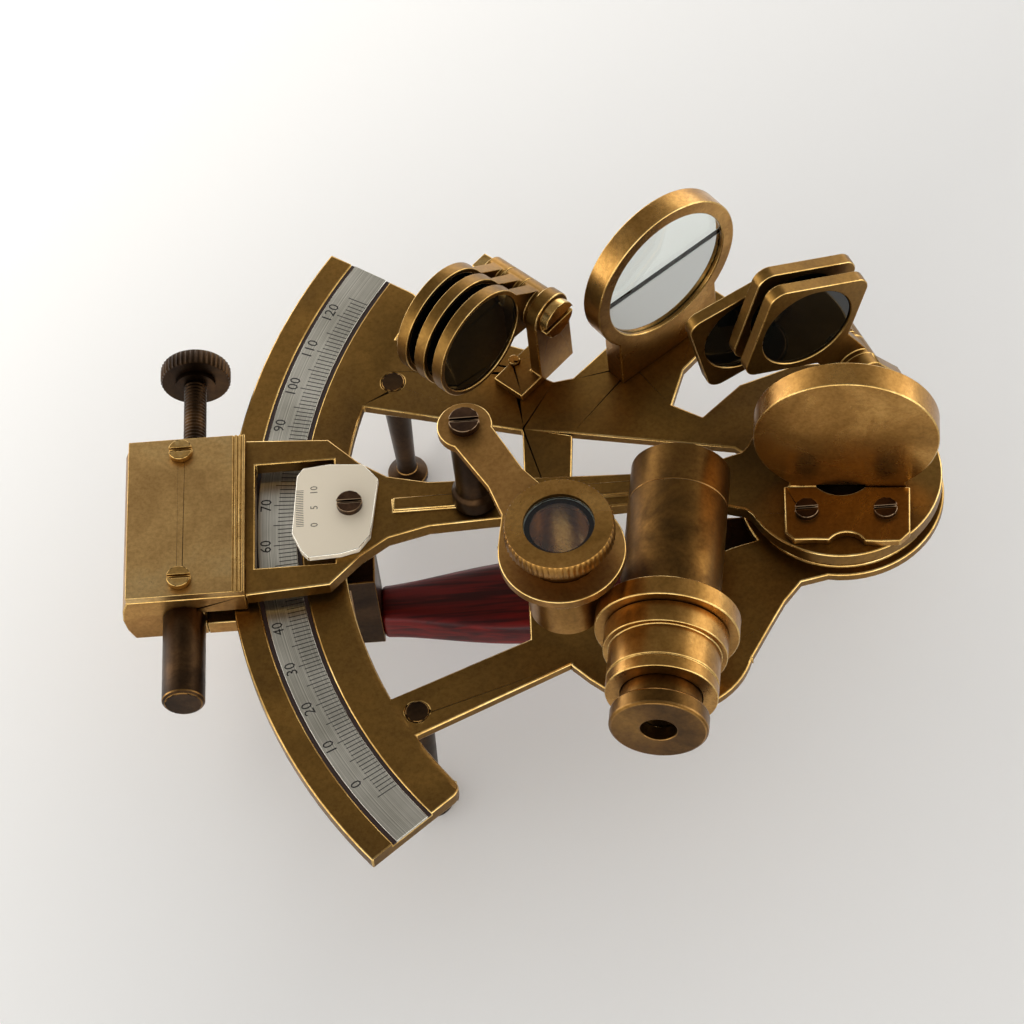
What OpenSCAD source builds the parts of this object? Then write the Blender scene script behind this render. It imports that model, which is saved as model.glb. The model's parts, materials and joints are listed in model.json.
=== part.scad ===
// Brass pocket sextant: an index arm swings over a graduated limb and carries the index mirror, the
// vernier, the tangent-screw box and a reading magnifier; the frame carries the horizon mirror, the
// telescope, two sets of shades, three turned legs and a wooden grip.
// Millimetres. +Z is up, the legs stand on z = 0, the telescope looks roughly along +Y and the index
// arm points along -X. Sub-parts are drawn about the arm's pivot, with z = 0 on the limb's top face,
// and place() carries them to the part's own origin.

/* [Limb and frame] */
// Outer radius of the graduated limb, from the arm's pivot
limb_r = 105; // [100:1:112]
// Inner radius of the limb's raised face
limb_inner_r = 86.5; // [84:0.5:88]
// Thickness of the limb
limb_t = 2.6; // [2.2:0.1:2.8]
// How far the struts lie below the limb's face
strut_drop = 0.8; // [0.6:0.1:1]
// Height of the limb's face above the feet
limb_height = 29; // [26:0.5:34]
// Angle of the limb's end beyond the 120 mark
limb_start = 145.6; // [144:0.2:147]
// Angle of the limb's end beyond the 0 mark
limb_end = 219.5; // [218:0.2:221]
// Radius of the frame's pivot boss
boss_r = 17.3; // [16:0.1:18]

/* [Scale] */
// Centre radius of the inner dark groove
groove_in_r = 92.7; // [92:0.1:93.5]
// Centre radius of the outer dark groove
groove_out_r = 100.1; // [99.5:0.1:101]
// Width of both grooves
groove_w = 0.7; // [0.5:0.1:0.9]

/* [Index arm] */
// Underside of the arm above the limb's face
arm_z = 1.6; // [1.4:0.1:1.8]
// Thickness of the arm
arm_t = 2.8; // [2.4:0.1:3]
// Radius of the arm's round head
arm_head_r = 17; // [16:0.1:17.2]
// Diameter of the pivot pin
pivot_d = 6; // [5:0.5:7]

/* [Tangent-screw box] */
// Length of the box across the arm
box_w = 32.6; // [30:0.2:34]
// Depth of the box along the arm
box_l = 21.4; // [19:0.2:23]
// Diameter of the knurled knob
knob_d = 12.3; // [10:0.1:14]
// Diameter of the plunger barrel
barrel_d = 7.3; // [6:0.1:8]

/* [Mirrors] */
// Outer radius of the horizon mirror's ring
horizon_r = 15.1; // [14:0.1:16]
// Angle of the horizon mirror in plan, from +X
horizon_angle = 37.5; // [34:0.5:40]
// Radius of the index mirror's housing
index_r = 15.4; // [14:0.1:16]
// Angle of the index mirror in plan, from the arm's line
index_angle = -5; // [-8:0.5:0]

/* [Telescope] */
// Height of the telescope's axis above the limb's face
tele_z = 13.6; // [13.4:0.1:14]
// Radius of the telescope's tube
tube_r = 8.3; // [7.6:0.1:8.5]
// Radius of the telescope's mounting ring
ring_r = 11.9; // [11:0.1:12.2]
// Turn of the telescope's axis from +Y, clockwise from above
tele_turn = 7.3; // [5:0.1:9]

/* [Shades] */
// Radius of the three round horizon shades
round_shade_r = 10.2; // [9:0.1:11]
// Side of the three square index shades
square_shade = 19.2; // [18:0.1:20]
// Thickness of a shade's brass frame
shade_t = 2.2; // [1.8:0.1:2.4]

/* [Legs and grip] */
// Radius of a leg's flared foot
foot_r = 3.6; // [3:0.1:4.5]
// Length of the wooden grip
grip_l = 54; // [48:1:58]

/* [Hidden] */

$fn = 64;
brass = "#8a6a35";
bright_brass = "#c8a45c";
dark_brass = "#5a4526";
steel = "#4a443c";
silver = "#d6d2c4";
glass = "#9fb2ad";
shade_glass = "#101512";
wood = "#4a1410";

// overall box: the arm's box is the farthest left, the frame's boss the farthest right, and the two
// ends of the limb the farthest forward and back
box_out_x = -101.2 - box_l;
pivot_x = -(box_out_x + boss_r) / 2;
pivot_y = -limb_r * (sin(limb_start) + sin(limb_end)) / 2;
strut_z = -strut_drop;
limb_bottom = -limb_t;
strut_t = limb_t - strut_drop;
arm_top = arm_z + arm_t;
eps = 0.01;
run = 0.05; // radial clearance of a turning or sliding fit

module place() { translate([pivot_x, pivot_y, limb_height]) children(); }

// turns a shape drawn along +Z so that it lies along the plan direction a, measured from +X
module lie(a) { rotate([0, 0, a]) rotate([0, 90, 0]) children(); }

// a ring sector between two radii and two angles, drawn flat
module sector(r_in, r_out, a0, a1) {
  far = 2 * r_out;
  intersection() {
    difference() {
      circle(r = r_out, $fn = 240);
      circle(r = r_in, $fn = 240);
    }
    polygon([
      [0, 0], far * [cos(a0), sin(a0)], far * [cos((a0 + a1) / 2), sin((a0 + a1) / 2)],
      far * [cos(a1), sin(a1)]
    ]);
  }
}

// a slotted cheese head with its shank below it, head's underside at z = 0
module screw(head_d, head_h, shank_d, shank_l, slot = 0.7) {
  difference() {
    cylinder(d = head_d, h = head_h);
    translate([-head_d, -slot / 2, head_h * 0.45]) cube([2 * head_d, slot, head_h]);
  }
  translate([0, 0, -shank_l]) cylinder(d = shank_d, h = shank_l + eps);
}

// a straight bar in plan between two points, with round ends
module bar(p, q, w) {
  d = q - p;
  translate(p) circle(d = w);
  translate(q) circle(d = w);
  translate(p) rotate(atan2(d.y, d.x)) translate([0, -w / 2]) square([norm(d), w]);
}

// ---------------------------------------------------------------- places
leg_points = [[-76.1, 30.4], [-73.2, -38.4], [-5, 11.4]];
leg_shank_d = 4;
small_hole_d = 2.4;
limb_foot_r = limb_inner_r - 1.3;
corner_q = 2.4;
horizon_near = [-26.9, 33.1];
horizon_z = 19.9;
ring_w = 4.2;
web_l = 21.6;
tele_front = [-26.9, -3.9];
tele_ring_y = [-32.6, -29.1];
round_shade_pivot = [-50.4, 33.8, 14.3];
round_shade_angle = 47;
shade_foot = [-54.6, 31.6];
square_shade_pivot = [3.5, 19.5, 10];
square_shade_angle = 24;
square_shade_foot = [6.2, 22.2];
grip_y = -6.6;
grip_x0 = -80;
grip_top = -14;
grip_h = 7;
grip_screw_limb = [-90, grip_y];
grip_screw_pivot = [-12.4, grip_y];
screw_axis = [-110.8, -0.6];
barrel_axis = [-112.2, -1];
post_at = [-62, 0];
magnifier_at = [-46.9, -26.5];
magnifier_z = 24;
magnifier_t = 1.8;

// frames in which the turned and slanted groups are drawn
module at_horizon() { translate([horizon_near.x, horizon_near.y, 0]) rotate(horizon_angle) children(); }
module at_index() { rotate(index_angle) children(); }
module at_telescope() {
  translate([tele_front.x, tele_front.y, tele_z]) rotate([-90, 0, -tele_turn]) children();
}
module at_round_shades() { translate(round_shade_pivot) rotate(round_shade_angle) children(); }
module at_square_shades() { translate(square_shade_pivot) rotate(square_shade_angle) children(); }
module at_screw() { translate([screw_axis.x, 0, screw_axis.y]) rotate([-90, 0, 0]) children(); }
module at_barrel() { translate([barrel_axis.x, 0, barrel_axis.y]) rotate([-90, 0, 0]) children(); }
// a flat shape drawn in x and z, given a thickness from y0 to y1
module upright(y0, y1) { translate([0, y1, 0]) rotate([90, 0, 0]) linear_extrude(y1 - y0) children(); }

// ---------------------------------------------------------------- frame
module frame_outline() {
  circle(r = boss_r);
  // upper strut, with the seat of the horizon shades at its middle
  polygon([
    [-84.6, 26.4], [-53.6, 17.8], [-45, 16.4], [-16.6, 10.6], [-10, 6], [-12, 14], [-22.6, 17.9],
    [-28, 21.2], [-38, 26], [-44.8, 28.4], [-48, 27.9], [-51.2, 30], [-51.6, 35], [-56, 37],
    [-66, 35.6], [-77, 40.4]
  ]);
  // ear under the horizon mirror
  polygon([
    [-46, 27], [-38.2, 34.8], [-24, 46.2], [-18.6, 45.4], [-13.8, 40.8], [-25.3, 28.4], [-28, 20]
  ]);
  // ear under the index shades
  polygon([
    [-24, 16.6], [-15.8, 24.2], [-6, 27.6], [8, 27.6], [13.6, 20], [14, 8], [-10, 4]
  ]);
  // cross bar, lower strut, and the lobe under the telescope
  polygon([[-53.8, 18.4], [-45.2, 16], [-46.6, -8], [-42, -24], [-54, -26.4]]);
  polygon([
    [-79.6, -36.4], [-54, -25.6], [-41, -20], [-40, -32], [-47.4, -31.2], [-75, -43.8]
  ]);
  polygon([[-47.4, -31.4], [-44.4, -34.4], [-40.9, -37.4], [-30.6, -24], [-44, -20]]);
  translate([-30.2, -28.4]) circle(r = 13.4);
  polygon([
    [-17.4, -32.4], [-14, -26.4], [-11.2, -21.6], [-8.2, -17.9], [-3, -16.8], [-12, -8],
    [-19.2, -9.9], [-34, -16]
  ]);
}

module blind_hole(p, depth) {
  translate([p.x, p.y, limb_bottom - 1]) cylinder(d = small_hole_d, h = depth + 1);
}

// the piece that rounds one inner corner of the limb; side is 1 at its start and -1 at its end
module inner_corner(a, side) {
  rotate(a) translate([limb_foot_r, 0]) difference() {
    translate([-1, side > 0 ? -1 : -corner_q]) square(corner_q + 1);
    translate([corner_q, side * corner_q]) circle(r = corner_q);
  }
}

module frame_plate() {
  color(brass) place() difference() {
    union() {
      translate([0, 0, limb_bottom]) linear_extrude(limb_t) difference() {
        sector(limb_foot_r, limb_r, limb_start, limb_end);
        inner_corner(limb_start, 1);
        inner_corner(limb_end, -1);
      }
      translate([0, 0, limb_bottom]) linear_extrude(strut_t) frame_outline();
      translate([0, 0, strut_z - eps]) cylinder(r = 15.6, h = arm_z - strut_z - 0.1 + eps);
    }
    // chamfer along the limb's inner edge
    intersection() {
      translate([0, 0, strut_z]) cylinder(r1 = limb_foot_r, r2 = limb_inner_r + 0.2, h = strut_drop + 0.1);
      translate([0, 0, -20]) linear_extrude(40) sector(limb_foot_r - 1, limb_r, limb_start - 2, limb_end + 2);
    }
    // recess of the scale band with its two grooves
    translate([0, 0, -0.6]) linear_extrude(2)
      sector(groove_in_r - groove_w / 2, groove_out_r + groove_w / 2, limb_start - 4, limb_end + 4);
    translate([0, 0, -20]) cylinder(d = pivot_d + 2 * run, h = 40);
    for (p = leg_points) translate([p.x, p.y, -20]) cylinder(d = leg_shank_d, h = 40);
    blind_hole(grip_screw_limb, 1.6);
    blind_hole(grip_screw_pivot, 1.6);
    at_horizon() for (x = horizon_screws_x) translate([x, ring_w / 2, -20])
      cylinder(d = small_hole_d, h = 40);
    at_telescope() translate([0, 0, (tele_ring_y[0] + tele_ring_y[1]) / 2]) rotate([-90, 0, 0])
      cylinder(d = small_hole_d, h = 40);
    for (p = [shade_foot, square_shade_foot]) translate([p.x, p.y, -20])
      cylinder(d = small_hole_d, h = 40);
  }
}

module scale_band() {
  color(silver) place() translate([0, 0, -0.6]) linear_extrude(0.6)
    sector(groove_in_r + groove_w / 2, groove_out_r - groove_w / 2, limb_start, limb_end);
}

// a turned leg: riveted shank, tapered column, flared foot
module leg(p) {
  translate([p.x, p.y, 0]) {
    translate([0, 0, limb_bottom - eps]) cylinder(d = leg_shank_d, h = strut_t + 0.1 + eps);
    rotate_extrude() polygon([
      [0, limb_bottom], [3.1, limb_bottom], [3.1, limb_bottom - 1.2], [2.3, limb_bottom - 2],
      [2.3, -8], [1.7, -limb_height + 4.4], [1.8, -limb_height + 3], [foot_r, -limb_height + 1.6],
      [foot_r, -limb_height + 0.4], [foot_r - 0.4, -limb_height], [0, -limb_height]
    ]);
  }
}
module leg_arc_high() { color(dark_brass) place() leg(leg_points[0]); }
module leg_arc_low() { color(dark_brass) place() leg(leg_points[1]); }
module leg_pivot() { color(dark_brass) place() leg(leg_points[2]); }

// ---------------------------------------------------------------- grip
grip_steps = 24;
grip_end_w = 7.6;
grip_belly = 7.4;
function grip_w(t) = grip_end_w + grip_belly * pow(sin(180 * t), 1.5);
grip_side = [for (i = [0:grip_steps]) let (t = i / grip_steps) [grip_x0 + grip_l * t, grip_w(t) / 2]];
grip_end_x = grip_x0 + grip_l;

module grip() {
  color(wood) place() difference() {
    translate([0, grip_y, grip_top - grip_h]) linear_extrude(grip_h)
      polygon(concat(grip_side, [for (i = [grip_steps:-1:0]) [grip_side[i].x, -grip_side[i].y]]));
    for (x = [grip_x0 - 1, grip_end_x - 8]) translate([x, grip_y, grip_top - grip_h / 2])
      rotate([0, 90, 0]) cylinder(d = 2, h = 9);
  }
}

// an angle bracket: flange under the frame from x0 to x1, and an upright against the grip's end
module grip_bracket(x0, x1, up0, up1, hole) {
  difference() {
    union() {
      translate([x0, grip_y - 4, limb_bottom - 2.2]) cube([x1 - x0, 8, 2.2]);
      translate([up0, grip_y - 4, grip_top - grip_h]) cube([up1 - up0, 8, limb_bottom - grip_top + grip_h]);
    }
    translate([hole.x, hole.y, -20]) cylinder(d = small_hole_d, h = 20);
    translate([up0 - 1, grip_y, grip_top - grip_h / 2]) rotate([0, 90, 0])
      cylinder(d = 2, h = up1 - up0 + 2);
  }
}
bracket_w = 4.6;
module grip_bracket_limb() {
  color(dark_brass) place()
    grip_bracket(grip_screw_limb.x - 4, grip_x0, grip_x0 - bracket_w, grip_x0, grip_screw_limb);
}
module grip_bracket_pivot() {
  color(dark_brass) place()
    grip_bracket(grip_end_x, grip_screw_pivot.x + 4, grip_end_x, grip_end_x + bracket_w, grip_screw_pivot);
}
module grip_screws() {
  color(steel) place() {
    for (p = [grip_screw_limb, grip_screw_pivot]) translate([p.x, p.y, limb_bottom - 2.2])
      mirror([0, 0, 1]) screw(4, 1.4, 2, 3.4);
    for (s = [-1, 1]) translate([s < 0 ? grip_x0 - bracket_w : grip_end_x + bracket_w, grip_y,
      grip_top - grip_h / 2]) rotate([0, s * 90, 0]) screw(4, 1.4, 2, bracket_w + 7);
  }
}

// ---------------------------------------------------------------- telescope
module telescope_ring() {
  y0 = tele_ring_y[0];
  w = tele_ring_y[1] - y0;
  color(brass) place() difference() {
    union() {
      at_telescope() translate([0, 0, y0]) cylinder(r = ring_r, h = w);
      at_telescope() translate([-3.6, 8.6, y0]) cube([7.2, tele_z - strut_z - 8.6, w]);
    }
    at_telescope() translate([0, 0, y0 - 1]) cylinder(r = tube_r, h = w + 2);
    at_telescope() translate([0, 0, y0 + w / 2]) rotate([-90, 0, 0])
      translate([0, 0, 10]) cylinder(d = 2, h = 10);
  }
}
module telescope_ring_screw() {
  color(steel) place() at_telescope()
    translate([0, tele_z - limb_bottom, (tele_ring_y[0] + tele_ring_y[1]) / 2]) rotate([-90, 0, 0])
      screw(4.4, 1.4, 2, 5);
}
// turned about the telescope's axis from [y, radius] points
module turned(profile) { rotate_extrude() polygon([for (q = profile) [q[1], q[0]]]); }

objective_y = -7.3;
bore_r = tube_r - 0.8;
module telescope_tube() {
  color(brass) place() at_telescope()
    turned([[-34.6, bore_r], [objective_y, bore_r], [objective_y, tube_r], [-34.6, tube_r]]);
}
module objective_cell() {
  color(brass) place() at_telescope() turned([
    [-10.4, bore_r - 0.7], [-10.4, bore_r], [objective_y, bore_r], [objective_y, tube_r],
    [0, tube_r], [0, tube_r - 1], [-4.9, tube_r - 1], [-4.9, bore_r - 0.7]
  ]);
}
module objective_lens() {
  color(glass) place() at_telescope() translate([0, 0, -4.8]) cylinder(r = tube_r - 1, h = 2.4);
}
draw_r = 6.6;
module eyepiece_body() {
  color(brass) place() at_telescope() turned([
    [-44.6, draw_r + run], [-36.6, draw_r + run], [-36.6, tube_r], [-32.7, tube_r], [-32.7, 10.2],
    [-36.6, 10.2], [-36.6, 9.2], [-42.1, 9.2], [-42.1, 8.9], [-42.5, 8.9], [-42.5, 9.2],
    [-44.6, 9.2]
  ]);
}
module draw_tube() {
  color(brass) place() at_telescope() turned([
    [-51, 3], [-51, 7.7], [-50.6, 8.1], [-48.2, 8.1], [-47.8, 7.7], [-47.8, draw_r], [-37, draw_r],
    [-37, draw_r - 1.2], [-46.6, draw_r - 1.2], [-46.6, 5.2], [-48.4, 5.2], [-48.4, 3]
  ]);
}
module eye_lens() {
  color(glass) place() at_telescope() translate([0, 0, -48.4]) cylinder(r = 5.2, h = 1.6);
}

// ---------------------------------------------------------------- horizon mirror
horizon_screws_x = [-7.4, 6.6];
glass_r = horizon_r - 1.7;
module horizon_ring() {
  color(brass) place() at_horizon() difference() {
    union() {
      translate([0, ring_w, horizon_z]) rotate([90, 0, 0]) cylinder(r = horizon_r, h = ring_w);
      translate([-11.3, 0, strut_z]) cube([web_l, ring_w, horizon_z - strut_z - 9]);
    }
    translate([0, ring_w + 1, horizon_z]) rotate([90, 0, 0]) cylinder(r = glass_r - 0.8, h = ring_w + 2);
    translate([0, ring_w + 1, horizon_z]) rotate([90, 0, 0]) cylinder(r = glass_r, h = ring_w + 0.1);
    for (x = horizon_screws_x) translate([x, ring_w / 2, strut_z - 1]) cylinder(d = 2, h = 4.4);
  }
}
// half of the round glass, s = 1 above the parting line and -1 below it
module half_glass(s) {
  at_horizon() intersection() {
    translate([0, 3.1, horizon_z]) rotate([90, 0, 0]) cylinder(r = glass_r, h = 2.2);
    translate([-20, 0, horizon_z + (s > 0 ? 0 : -20)]) cube([40, 10, 20]);
  }
}
module horizon_clear_glass() { color(glass) place() half_glass(1); }
module horizon_silvered_glass() { color(silver) place() half_glass(-1); }
module horizon_screws() {
  color(steel) place() at_horizon() for (x = horizon_screws_x)
    translate([x, ring_w / 2, limb_bottom]) mirror([0, 0, 1]) screw(4, 1.4, 2, 4.6);
}

// ---------------------------------------------------------------- horizon shades
round_step = 4;
lug_t = round_step - 0.1;
shade_pin_d = 3;
round_centre = [-14, 3.7];
round_glass_r = round_shade_r - 0.9;

module round_shade_outline() {
  circle(r = 3.6);
  translate(round_centre) circle(r = round_shade_r);
  polygon([[0.6, 3.5], [-6, 8.4], [-9, -2.5], [-6, -2.8], [-1, -3.4]]);
}
module round_shade(k) {
  y = round_step * (k - 1);
  at_round_shades() difference() {
    union() {
      upright(y - shade_t / 2, y + shade_t / 2) round_shade_outline();
      upright(y - lug_t / 2, y + lug_t / 2) circle(r = 3.6);
    }
    upright(y - 5, y + 5) circle(d = shade_pin_d + 2 * run);
    upright(y - 5, y + 5) translate(round_centre) circle(r = round_glass_r);
  }
}
module round_glass(k) {
  y = round_step * (k - 1);
  at_round_shades() upright(y - 0.7, y + 0.7) translate(round_centre) circle(r = round_glass_r);
}
module horizon_shade_1() { color(brass) place() round_shade(1); }
module horizon_shade_2() { color(brass) place() round_shade(2); }
module horizon_shade_3() { color(brass) place() round_shade(3); }
module horizon_shade_glass_1() { color(shade_glass) place() round_glass(1); }
module horizon_shade_glass_2() { color(shade_glass) place() round_glass(2); }
module horizon_shade_glass_3() { color(shade_glass) place() round_glass(3); }

bracket_t = 2.4;
bracket_y = -lug_t / 2 - 0.1 - bracket_t;
module horizon_shade_bracket() {
  drop = round_shade_pivot.z - strut_z;
  color(brass) place() difference() {
    union() {
      at_round_shades() upright(bracket_y, bracket_y + bracket_t) {
        circle(r = 4.2);
        translate([-4.2, -drop]) square([8.4, drop]);
      }
      at_round_shades() translate([-9.4, bracket_y, -drop]) cube([10, 6.4, 1.8]);
    }
    at_round_shades() upright(bracket_y - 1, bracket_y + bracket_t + 1) circle(d = shade_pin_d);
    translate([shade_foot.x, shade_foot.y, -5]) cylinder(d = 2, h = 10);
  }
}
module horizon_shade_screw() {
  color(bright_brass) place() {
    at_round_shades() translate([0, bracket_y, 0]) rotate([90, 0, 0])
      screw(7, 1.8, shade_pin_d, bracket_t + 3 * round_step + 2.6, 1);
    at_round_shades() translate([0, lug_t / 2 + 2 * round_step + 0.1, 0]) rotate([-90, 0, 0])
      difference() {
        cylinder(r = 3.2, h = 2, $fn = 6);
        translate([0, 0, -1]) cylinder(d = shade_pin_d, h = 4);
      }
    translate([shade_foot.x, shade_foot.y, limb_bottom]) mirror([0, 0, 1]) screw(4, 1.4, 2, 4.2);
  }
}

// ---------------------------------------------------------------- index shades
square_step = 4.3;
square_lug_t = square_step - 0.1;
square_centre = [-13.8, 11.8];
square_tilt = [-20, -20, 10];
corner_r = 2.6;

module square_shade_outline() {
  c = square_shade / 2 - corner_r;
  translate(square_centre) {
    for (sx = [-1, 1], sy = [-1, 1]) translate([sx * c, sy * c]) circle(r = corner_r);
    square([square_shade, square_shade - 2 * corner_r], center = true);
    square([square_shade - 2 * corner_r, square_shade], center = true);
  }
  circle(r = 3.4);
  polygon([[-6.4, 6.4], [-4.2, 8.2], [2.4, 2.4], [-2.4, -2.4], [-9, 2.6]]);
}
square_glass_r = 8.3;
module square_shade(k) {
  y = square_step * (k - 1);
  at_square_shades() difference() {
    union() {
      upright(y - shade_t / 2, y + shade_t / 2) rotate(square_tilt[k - 1]) square_shade_outline();
      upright(y - square_lug_t / 2, y + square_lug_t / 2) circle(r = 3.7);
    }
    upright(y - 5, y + 5) circle(d = shade_pin_d + 2 * run);
    upright(y - 5, y + 5) rotate(square_tilt[k - 1]) translate(square_centre) circle(r = square_glass_r);
  }
}
module square_glass(k) {
  y = square_step * (k - 1);
  at_square_shades() upright(y - 0.7, y + 0.7) rotate(square_tilt[k - 1]) translate(square_centre)
    circle(r = square_glass_r);
}
module index_shade_1() { color(brass) place() square_shade(1); }
module index_shade_2() { color(brass) place() square_shade(2); }
module index_shade_3() { color(brass) place() square_shade(3); }
module index_shade_glass_1() { color(shade_glass) place() square_glass(1); }
module index_shade_glass_2() { color(shade_glass) place() square_glass(2); }
module index_shade_glass_3() { color(shade_glass) place() square_glass(3); }

square_bracket_y = -square_lug_t / 2 - 0.1 - bracket_t;
module index_shade_bracket() {
  drop = square_shade_pivot.z - strut_z;
  color(brass) place() difference() {
    union() {
      at_square_shades() upright(square_bracket_y, square_bracket_y + bracket_t) {
        circle(r = 3.8);
        polygon([[-2.6, -2.8], [1, -4.8], [1.8, -6], [1.8, -drop], [7.4, -drop], [7.4, -4], [2.6, 2.8]]);
      }
      at_square_shades() translate([1.8, square_bracket_y, -drop]) cube([5.6, 8.4, 1.8]);
    }
    at_square_shades() upright(square_bracket_y - 1, square_bracket_y + bracket_t + 1)
      circle(d = shade_pin_d);
    translate([square_shade_foot.x, square_shade_foot.y, -5]) cylinder(d = 2, h = 10);
  }
}
module index_shade_screw() {
  color(bright_brass) place() {
    at_square_shades() translate([0, square_bracket_y, 0]) rotate([90, 0, 0])
      screw(6, 1.6, shade_pin_d, bracket_t + 3 * square_step + 2.4, 1);
    at_square_shades() translate([0, square_lug_t / 2 + 2 * square_step + 0.1, 0]) rotate([-90, 0, 0])
      difference() {
        cylinder(r = 3.2, h = 2, $fn = 6);
        translate([0, 0, -1]) cylinder(d = shade_pin_d, h = 4);
      }
    translate([square_shade_foot.x, square_shade_foot.y, limb_bottom]) mirror([0, 0, 1])
      screw(4, 1.4, 2, 4.2);
  }
}

// ---------------------------------------------------------------- index arm
arm_side = [
  [-8, 14.6], [-16.5, 6], [-24, 3.7], [-34, 3.1], [-70, 4.6], [-77, 6.4], [-81.8, 9.8], [-87, 15.1],
  [-101.2, 16.1]
];
window_in = -86;
window_out = -99.6;
window_w = 21.6;
tongue_w = 22;
tongue_l = 3.2;
mirror_screws = [[-6.4, -8.4], [6.7, -9.4]];
vernier_screw_at = [-83.3, 0];
box_in_x = -101.2;
rib_h = 0.7;
post_stud_d = 3;
pin_head_d = 11;
pin_head_t = 1.3;
pin_seat_z = arm_top - 1.05;

module index_arm() {
  color(brass) place() difference() {
    union() {
      translate([0, 0, arm_z]) linear_extrude(arm_t) {
        circle(r = arm_head_r);
        polygon(concat(arm_side, [for (i = [len(arm_side) - 1:-1:0]) [arm_side[i].x, -arm_side[i].y]]));
        translate([box_in_x - tongue_l, -tongue_w / 2]) square([tongue_l + 1, tongue_w]);
      }
      translate([-76, -1.3, arm_top - eps]) cube([56, 2.6, rib_h + eps]);
    }
    translate([window_out, -window_w / 2, 0]) cube([window_in - window_out, window_w, 10]);
    translate([0, 0, -1]) cylinder(d = pivot_d + 2 * run, h = 10);
    translate([0, 0, pin_seat_z]) cylinder(d = pin_head_d + 0.3, h = 10);
    for (p = mirror_screws) translate([p.x, p.y, arm_z + 0.6]) cylinder(d = 2, h = 5);
    translate([vernier_screw_at.x, vernier_screw_at.y, arm_z - 1]) cylinder(d = 2, h = 5);
    translate([post_at.x, post_at.y, arm_z - 1]) cylinder(d = post_stud_d, h = 8);
  }
}
// the pivot: a headed pin through frame and arm, and a slotted nut underneath
module pivot_pin() {
  color(dark_brass) place() difference() {
    union() {
      translate([0, 0, pin_seat_z + run]) cylinder(d = pin_head_d, h = pin_head_t);
      translate([0, 0, limb_bottom - 3.2]) cylinder(d = pivot_d, h = pin_seat_z - limb_bottom + 3.4);
    }
    translate([-6, -0.5, pin_seat_z + pin_head_t - 0.5]) cube([12, 1, 2]);
  }
}
module pivot_nut() {
  color(dark_brass) place() translate([0, 0, limb_bottom - 2.8]) difference() {
    cylinder(d = 12, h = 2.75);
    translate([0, 0, -1]) cylinder(d = pivot_d, h = 5);
    for (s = [-1, 1]) translate([s * 4.4, 0, -1]) cylinder(d = 1.4, h = 2.4);
  }
}

// ---------------------------------------------------------------- index mirror
index_x = 1.1;
index_z = 19;
index_back_y = -3.9;
housing_t = 4.6;
wall = 1.3;
module index_mirror_housing() {
  color(brass) place() difference() {
    union() {
      at_index() upright(index_back_y, index_back_y + housing_t) {
        translate([index_x, index_z]) circle(r = index_r);
        translate([index_x - 9.8, arm_top - 2]) square([19.6, 10]);
      }
      // foot with its wavy front edge
      translate([0, 0, arm_top]) linear_extrude(1.6) difference() {
        polygon([
          [-9.9, -3], [-10.3, -12.4], [-9, -14], [-5.6, -14.2], [5.2, -15.6], [8.6, -15.8],
          [10.4, -14.2], [11.2, -5]
        ]);
        translate([-0.4, -16.6]) circle(r = 3.4);
      }
    }
    at_index() upright(index_back_y + wall, 10) translate([index_x, index_z]) circle(r = index_r - wall);
    for (p = mirror_screws) translate([p.x, p.y, 0]) cylinder(d = 2, h = 8);
    // the disc ends flat where it stands on the arm
    translate([-20, -20, arm_top - 10]) cube([40, 40, 10]);
    translate([0, 0, arm_top - 1]) cylinder(d = pin_head_d + 0.2, h = 2.9);
  }
}
module index_mirror_glass() {
  color(silver) place() at_index() upright(index_back_y + wall, index_back_y + housing_t - 0.5)
    translate([index_x, index_z]) circle(r = index_r - wall);
}
module index_mirror_screws() {
  color(steel) place() for (p = mirror_screws) translate([p.x, p.y, arm_top + 1.6])
    screw(4, 1, 2, 3.6);
}

// ---------------------------------------------------------------- vernier
module vernier_plate() {
  color(silver) place() difference() {
    translate([0, 0, arm_top]) linear_extrude(1.2) polygon([
      [-93.2, -5], [-91.6, -8.8], [-90.4, -10.2], [-85, -9.9], [-81.9, -9.1], [-79.9, -6.5],
      [-78.4, 5.1], [-80.9, 8.4], [-86.6, 8.9], [-91.2, 8.4], [-92.3, 6.8]
    ]);
    translate([vernier_screw_at.x, vernier_screw_at.y, 0]) cylinder(d = 2, h = 10);
  }
}
module vernier_screw() {
  color(steel) place() translate([vernier_screw_at.x, vernier_screw_at.y, arm_top + 1.2])
    screw(4.4, 1.2, 2, 3.2);
}

// ---------------------------------------------------------------- tangent-screw box
box_half = box_w / 2;
box_low = -6;
cover_z = 4.6;
cover_t = 1.4;
slot_gap = 0.3;
cavity_x = [-117, -104.6];
cavity_half = 6.9;
pad_half = 5;
stem_d = 4;
rod_d = 3;
cover_screw_at = [[-112.2, 13.2], [-112.2, -13.2]];
shoe_x = [-108.6, -99.5];
pad_z = [limb_bottom - slot_gap + run, 4.1];

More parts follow.
